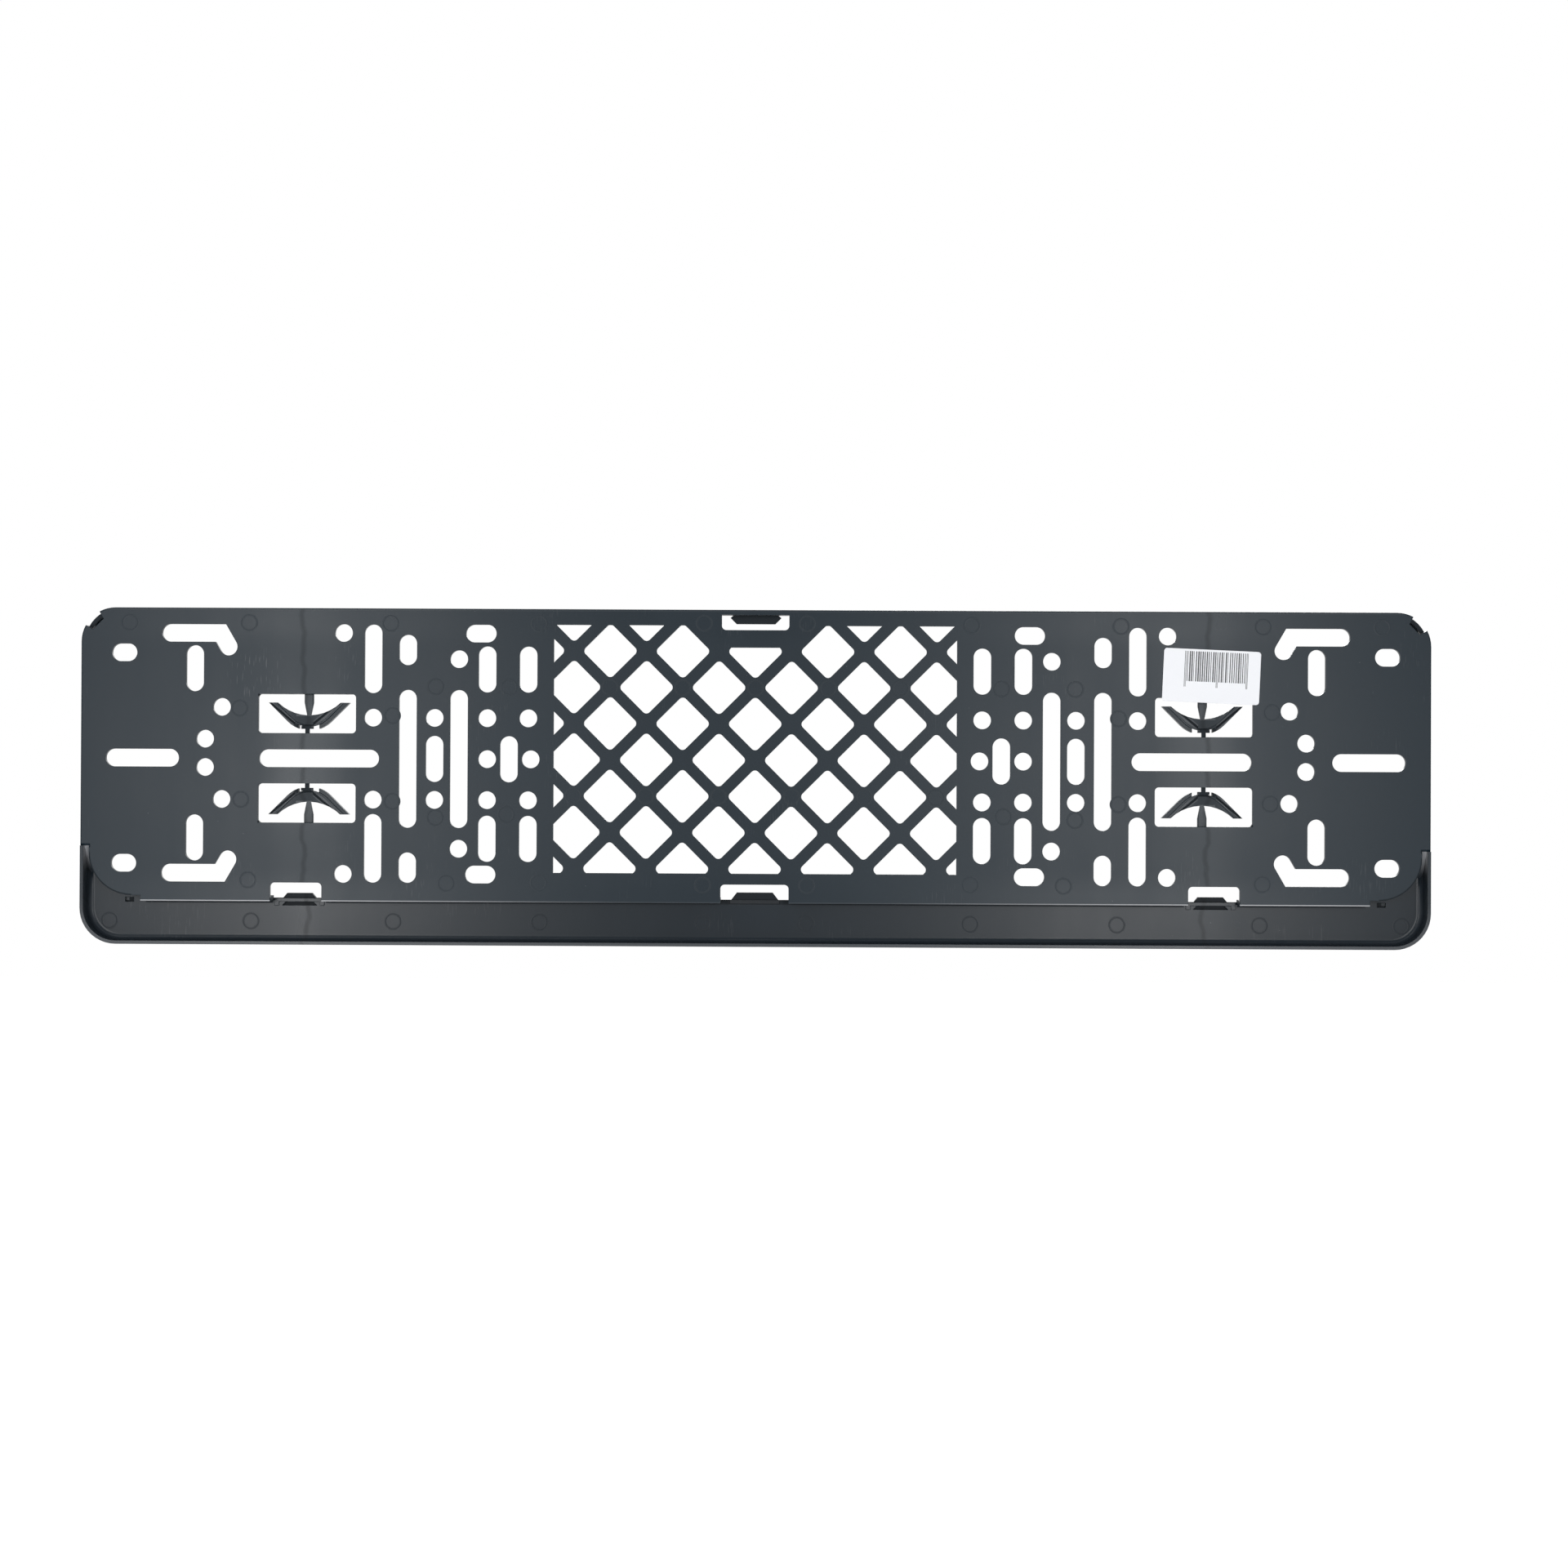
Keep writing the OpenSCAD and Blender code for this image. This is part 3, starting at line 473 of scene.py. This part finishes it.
def moulded_plastic(name, colour, shine, seed, settings, painted_light=None):
    """Charcoal moulded plastic, satin, with fine grain, flow lines, dust and hairline scratches.

    A piece with a painted-light function also gets painted highlights and painted shade from it,
    and softened edges, which flat marks don't need.
    """
    graph = Graph(bpy.data.materials.new(name))
    place = graph.millimetres()
    shifted = graph.moved(place, (seed, 2 * seed, 3 * seed))
    x, y, z = graph.split(place)
    cloud = graph.noise(shifted, 48.0, 3.0)
    streak = graph.noise(graph.stretched(shifted, (1.0, 0.2, 0.12)), 9.0, 3.0)
    waviness = graph.noise(shifted, 3.2, 2.0)
    grain = graph.noise(shifted, 0.42, 2.0, 0.6)

    bend_width = 9.0
    drift = graph.noise(graph.stretched(shifted, (0.0, 0.0, 1.0)), 14.0, 2.0)
    bend = (drift - 0.5) * bend_width
    line_gap = abs(abs(x) - settings.flow_line_x / MM + bend)
    flow_line = line_gap.ramp(0.15, 1.6, 1.0, 0.0)
    flow_field = line_gap.ramp(3.0, 22.0, 1.0, 0.0)
    middle_field = abs(z).ramp(12.0, 34.0, 1.0, 0.35)
    edge_field = abs(z).ramp(42.0, 54.0)

    # Painted highlight and painted shade from the piece's painted-light function; the plastic is
    # also rougher where shade is painted.
    painted_highlight, painted_shade = painted_light(x, y, z) if painted_light else (0.0, 0.0)

    speck_spacing, speck_size = 7.0, 0.016
    speck_values = {"Vector": shifted, "Scale": 1 / speck_spacing}
    specks = graph.node("ShaderNodeTexVoronoi", {"feature": "F1"}, speck_values, "Distance")
    dust = specks < speck_size

    hairs = graph.noise(graph.stretched(shifted, (1.0, 1.0, 0.08)), 0.5, 1.0)
    scuffed = graph.noise(shifted, 26.0, 1.0).ramp(0.58, 0.7, 0.0, 0.5)
    gap_values = {0: graph.stretched(place, (1, 0, 1)), 1: WORN_PATCH}
    worn_gap = graph.node("ShaderNodeVectorMath", {"operation": "DISTANCE"}, gap_values, "Value")
    scratches = hairs.ramp(0.6, 0.72) * (scuffed + worn_gap.ramp(4.0, 15.0, 1.0, 0.0))

    # The tone varies at random and is darker along flow lines, and darker still where shade is
    # painted.
    tone = (0.9 + 0.2 * cloud + 0.08 * streak - 0.3 * flow_line) * (1 - 0.5 * painted_shade)
    shade = graph.scaled((*colour,), tone)
    # The colour goes towards a pale grey for dust, scratches and painted highlights.
    shade = graph.mixed(dust * 0.35 + painted_highlight + scratches * 0.09, shade, DUST_SCRATCH_AND_HIGHLIGHT_GREY)
    roughness = settings.roughness - 0.05 + 0.06 * cloud + 0.04 * streak + 0.04 * flow_line
    roughness = roughness - 0.055 * flow_field * middle_field - 0.035 * edge_field
    roughness = roughness - 0.05 * scratches + 0.3 * painted_shade
    height = 0.004 * grain + 0.012 * waviness - 0.01 * flow_line
    bump = {"Strength": 0.5, "Distance": MM, "Height": height}
    if painted_light:
        soft_edge = {"Radius": settings.edge_radius}
        bump["Normal"] = graph.node("ShaderNodeBevel", {"samples": 6}, soft_edge)
    relief = graph.node("ShaderNodeBump", None, bump)
    values = {
        "Base Color": shade,
        "Roughness": roughness,
        "Specular IOR Level": shine,
        "Normal": relief,
    }
    return graph.finish(values)


def label_paper(settings):
    """White paper with printed bars, drawn from the label's own UV map in millimetres."""
    graph = Graph(bpy.data.materials.new("label_paper"))
    flat = graph.node("ShaderNodeUVMap", {"uv_map": "print"})
    u, v, _ = graph.split(flat)
    bar_count, bars_middle, bar_top, guard_drop = 30, 1.8, 9.65, 2.2
    bar_low = bar_top - settings.bars_height / MM
    pitch = settings.bars_width / MM / bar_count
    along = (u - bars_middle) / pitch + bar_count / 2
    index = along.floor()
    phase = along - index
    noise_kind = {"noise_dimensions": "1D"}
    draw = graph.node("ShaderNodeTexWhiteNoise", noise_kind, {"W": index}, "Value")
    inside = index.between(-0.5, bar_count - 0.5)
    guard = (index < 0.5) + (index > bar_count - 1.5) + index.near(bar_count / 2, 0.5)
    guard_bar = guard * ((phase * 4).math("MODULO", 2.0) < 1.0)
    bar_end = phase - 0.25 * draw.math("SQRT") - 0.2 * draw < 0.4
    plain_bar = (phase > 0.15) * bar_end * (1 - guard)
    bars = (guard_bar + plain_bar) * inside * (v < bar_top) * (v > bar_low - guard * guard_drop)
    ink_wear = graph.noise(flat, 0.5, 2.0).ramp(0.2, 0.5, 0.85, 0.97)
    fibre = graph.noise(graph.stretched(flat, (1.0, 0.5, 1.0)), 0.3, 3.0)
    tone = 0.97 + 0.05 * fibre
    paper = graph.scaled((*settings.paper,), tone)
    shade = graph.mixed(bars * ink_wear, paper, (*settings.ink, 1.0))
    bump = {"Strength": 0.25, "Distance": 0.02 * MM, "Height": fibre}
    relief = graph.node("ShaderNodeBump", None, bump)
    values = {
        "Base Color": shade,
        "Roughness": 0.55 - 0.1 * bars,
        "Specular IOR Level": 0.2,
        "Normal": relief,
    }
    return graph.finish(values)


class HOLDER_OT_base_plate(bpy.types.Operator):
    """Gives the base plate its plastic"""

    bl_idname = "holder.base_plate"
    bl_label = "Finish base plate"

    def execute(self, context):
        settings = context.scene.holder_plastic
        colour, shine = settings.base_colour, settings.shine
        material = moulded_plastic(
            "base_plastic", colour, shine, BASE_SEED, settings, base_painted_light
        )
        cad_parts["base_plate"].material_slots[0].material = material
        return {"FINISHED"}


class HOLDER_OT_lower_strip(bpy.types.Operator):
    """Gives the lower strip its plastic"""

    bl_idname = "holder.lower_strip"
    bl_label = "Finish lower strip"

    def execute(self, context):
        settings = context.scene.holder_plastic
        colour, shine = settings.strip_colour, settings.strip_shine
        material = moulded_plastic(
            "strip_plastic", colour, shine, STRIP_SEED, settings, strip_painted_light
        )
        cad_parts["lower_strip"].material_slots[0].material = material
        return {"FINISHED"}


class HOLDER_OT_ejector_marks(bpy.types.Operator):
    """Adds the ring marks of the ejector pins on both mouldings"""

    bl_idname = "holder.ejector_marks"
    bl_label = "Add ejector marks"

    def execute(self, context):
        settings = context.scene.holder_marks
        look = context.scene.holder_plastic
        step = 0.01433
        lattice = [(k * step, 2 * step) for k in (-4, -2, 0, 2, 4)]
        lattice += [(k * step, -step) for k in (-5, -3, -1, 1, 3, 5)]
        one_side = [
            (0.0203, 0.0541), (0.0854, 0.0536), (0.1442, 0.0534), (0.2, 0.0534),
            (0.2471, 0.0534), (0.0973, 0.0285), (0.1263, 0.0285), (0.1433, 0.017),
            (0.1433, -0.0168), (0.2036, 0.0197), (0.203, -0.0163), (0.0982, -0.0218),
            (0.1263, -0.0231), (0.1219, -0.049), (0.0853, -0.0487), (0.0205, -0.0493),
            (0.2, -0.048),
        ]
        base_places = np.array(lattice + one_side + [(-x, z) for x, z in one_side])
        points, faces = ring_marks(base_places, 0.0, settings)
        colour = np.array(look.base_colour) + settings.paler
        shine = settings.shine_share * look.shine
        plastic = moulded_plastic("base_mark_plastic", colour, shine, BASE_SEED, look)
        mesh_piece("base_ejector_marks", points, faces, plastic)

        strip_x = np.array([0.0205, 0.0858, 0.144, 0.2005, 0.2568])
        strip_z = -0.0646
        both_sides = np.r_[strip_x, -strip_x]
        strip_places = np.stack([both_sides, np.full(len(both_sides), strip_z)], -1)
        points, faces = ring_marks(strip_places, STRIP_FLOOR, settings)
        colour = np.array(look.strip_colour) + settings.paler
        shine = settings.shine_share * look.strip_shine
        plastic = moulded_plastic("strip_mark_plastic", colour, shine, STRIP_SEED, look)
        mesh_piece("strip_ejector_marks", points, faces, plastic)
        return {"FINISHED"}


class HOLDER_OT_label(bpy.types.Operator):
    """Adds the paper label in the place of its plain solid"""

    bl_idname = "holder.label"
    bl_label = "Add label"

    def execute(self, context):
        settings = context.scene.holder_label
        centre = (LABEL_LOW + LABEL_HIGH) / 2
        thickness = LABEL_HIGH[1] - LABEL_LOW[1]
        points, faces, flat = label_surface(settings, thickness)
        cos, sin = math.cos(settings.tilt), math.sin(settings.tilt)
        turned = points[:, [0, 2]] @ np.array([[cos, sin], [-sin, cos]])
        x, z = turned[:, 0] + centre[0], turned[:, 1] + centre[2]
        places = np.stack([x, points[:, 1] + LABEL_LOW[1], z], -1)
        paper = label_paper(settings)
        label = mesh_piece("label_sheet", places, faces, paper)
        layer = label.data.uv_layers.new(name="print")
        corners = np.zeros(len(label.data.loops), np.int32)
        label.data.loops.foreach_get("vertex_index", corners)
        layer.data.foreach_set("uv", flat[corners].astype(np.float32).ravel())
        shade_smooth(label)
        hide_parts("adhesive_label")
        return {"FINISHED"}


def label_surface(settings, thickness):
    """A thin sheet: rings from the middle to the edge on the front, then back on the glue side.

    A ring is the label's outline made smaller by a share. The sheet is flat where it sticks and
    lifts a little towards its corners.
    """
    corner_lift, paper_rise, glue_rise = 0.12 * MM, 0.05 * MM, 0.04 * MM
    outline = rounded_outline(settings.width, settings.height, settings.corner)
    outwards = np.array([0.02, 0.25, 0.5, 0.7, 0.85, 0.94, 0.985, 1.0])
    share = np.r_[outwards, outwards[::-1]]
    upper = np.arange(len(share)) < len(outwards)
    x = share[:, None] * outline[:, 0]
    z = share[:, None] * outline[:, 1]
    corner_share = np.abs(x / settings.width * 2) * np.abs(z / settings.height * 2)
    rise = np.where(upper[:, None], thickness + paper_rise, glue_rise)
    y = rise + corner_lift * corner_share**3
    points = np.stack([x, y, z], -1).reshape(-1, 3)
    flat = np.stack([-x / MM, z / MM], -1).reshape(-1, 2)
    rings, count = len(share), len(outline)
    i, j = np.meshgrid(np.arange(rings - 1), np.arange(count), indexing="ij")
    sides = quads(i, i + 1, j, (j + 1) % count, count)
    middles = [np.arange(count)[::-1], (rings - 1) * count + np.arange(count)]
    faces = sides.reshape(-1, 4).tolist() + [middle.tolist() for middle in middles]
    return points, faces, flat


def area_lamp(name, place, target, size, power):
    """A rectangular lamp at a place, turned to a target."""
    light = bpy.data.lights.new(name, "AREA")
    light.shape = "RECTANGLE"
    light.size, light.size_y = size
    light.energy = power
    lamp = bpy.data.objects.new(name, light)
    bpy.context.scene.collection.objects.link(lamp)
    away = np.array(place) - np.array(target)
    away = away / np.linalg.norm(away)
    side = np.cross((0.0, 0.0, 1.0), away)
    side = side / np.linalg.norm(side)
    up = np.cross(away, side)
    turn = Matrix(np.stack([side, up, away], 1).tolist()).to_4x4()
    lamp.matrix_world = Matrix.Translation(place) @ turn
    return lamp


def photograph_camera(settings):
    """A camera with the photograph's place, turn and lens."""
    yaw, pitch, roll = settings.camera_yaw, settings.camera_pitch, settings.camera_roll
    level_part = math.cos(pitch)
    ahead = np.array([math.sin(yaw) * level_part, -math.cos(yaw) * level_part, math.sin(pitch)])
    level = np.array([-math.cos(yaw), -math.sin(yaw), 0.0])
    down = np.cross(ahead, level)
    right = math.cos(roll) * level + math.sin(roll) * down
    lower = -math.sin(roll) * level + math.cos(roll) * down
    data = bpy.data.cameras.new("camera")
    data.lens = settings.lens
    data.sensor_width = 36.0
    data.sensor_fit = "HORIZONTAL"
    camera = bpy.data.objects.new("camera", data)
    bpy.context.scene.collection.objects.link(camera)
    turn = Matrix(np.stack([right, -lower, -ahead], 1).tolist()).to_4x4()
    camera.matrix_world = Matrix.Translation(settings.camera_place) @ turn
    bpy.context.scene.camera = camera


def background_rays(graph):
    """1 for camera, glossy and transmission rays, which see the white background."""
    paths = graph.node("ShaderNodeLightPath", None, None, "Is Camera Ray")
    outputs = paths.socket.node.outputs
    glossy = Link(graph, outputs["Is Glossy Ray"])
    through = Link(graph, outputs["Is Transmission Ray"])
    return (paths + glossy + through).at_most(1.0)


def white_world(strength):
    """Even light, which camera, glossy and transmission rays see as plain white."""
    world = bpy.data.worlds.new("studio")
    bpy.context.scene.world = world
    graph = Graph(world)
    seen = background_rays(graph)
    level = seen * (1.0 - strength) + strength
    glow = graph.node("ShaderNodeBackground", None, {"Color": WHITE, "Strength": level})
    graph.node("ShaderNodeOutputWorld", None, {"Surface": glow})


def floor_material():
    """A pale matt floor that camera rays see lifted to white, with the shadow left on it."""
    pale, lift = (0.82, 0.82, 0.82, 1.0), 0.7
    graph = Graph(bpy.data.materials.new("pale_floor"))
    seen = background_rays(graph)
    matt = graph.node("ShaderNodeBsdfDiffuse", None, {"Color": pale})
    glow = graph.node("ShaderNodeEmission", None, {"Color": WHITE, "Strength": seen * lift})
    both = graph.node("ShaderNodeAddShader", None, {0: matt, 1: glow})
    graph.node("ShaderNodeOutputMaterial", None, {"Surface": both})
    return graph.owner


class HOLDER_OT_stage(bpy.types.Operator):
    """Sets up the floor, the lamps, the white surroundings and the camera"""

    bl_idname = "holder.stage"
    bl_label = "Set up stage"

    def execute(self, context):
        settings = context.scene.holder_stage
        context.scene.view_settings.view_transform = "Standard"
        white_world(settings.ambient)
        photograph_camera(settings)
        level = CAD_BOX[0][2] - settings.floor_drop
        half = settings.floor_half_w
        mesh = bpy.data.meshes.new("floor")
        signs = [(-1, -1), (1, -1), (1, 1), (-1, 1)]
        mesh.from_pydata([(half * i, half * j, level) for i, j in signs], [], [(0, 1, 2, 3)])
        mesh.materials.append(floor_material())
        floor = bpy.data.objects.new("floor", mesh)
        context.scene.collection.objects.link(floor)
        for name, place, target, size, power in LAMPS:
            lamp = area_lamp(name, place, target, size, power)
            lamp.visible_camera = place[1] > 0.0
        return {"FINISHED"}


class HOLDER_PT_panel(bpy.types.Panel):
    """Lists the holder's steps in the order in which they run"""

    bl_idname = "HOLDER_PT_panel"
    bl_label = "Number plate holder"
    bl_space_type = "VIEW_3D"
    bl_region_type = "UI"
    bl_category = "Holder"

    def draw(self, context):
        for operator in OPERATORS:
            self.layout.operator(operator.bl_idname)


SETTINGS = {
    "holder_plastic": PlasticSettings,
    "holder_marks": MarkSettings,
    "holder_label": LabelSettings,
    "holder_stage": StageSettings,
}
OPERATORS = (
    HOLDER_OT_base_plate,
    HOLDER_OT_lower_strip,
    HOLDER_OT_ejector_marks,
    HOLDER_OT_label,
    HOLDER_OT_stage,
)
CLASSES = tuple(SETTINGS.values()) + OPERATORS + (HOLDER_PT_panel,)


def register():
    """Makes the settings, the operators and the panel known to Blender."""
    for cls in CLASSES:
        bpy.utils.register_class(cls)
    for name, group in SETTINGS.items():
        setattr(bpy.types.Scene, name, PointerProperty(type=group))


def unregister():
    """Takes away what register added."""
    for name in SETTINGS:
        delattr(bpy.types.Scene, name)
    for cls in reversed(CLASSES):
        bpy.utils.unregister_class(cls)


def main():
    """Runs every step."""
    register()
    for operator in OPERATORS:
        group, name = operator.bl_idname.split(".")
        getattr(getattr(bpy.ops, group), name)()


if __name__ == "__main__":
    main()
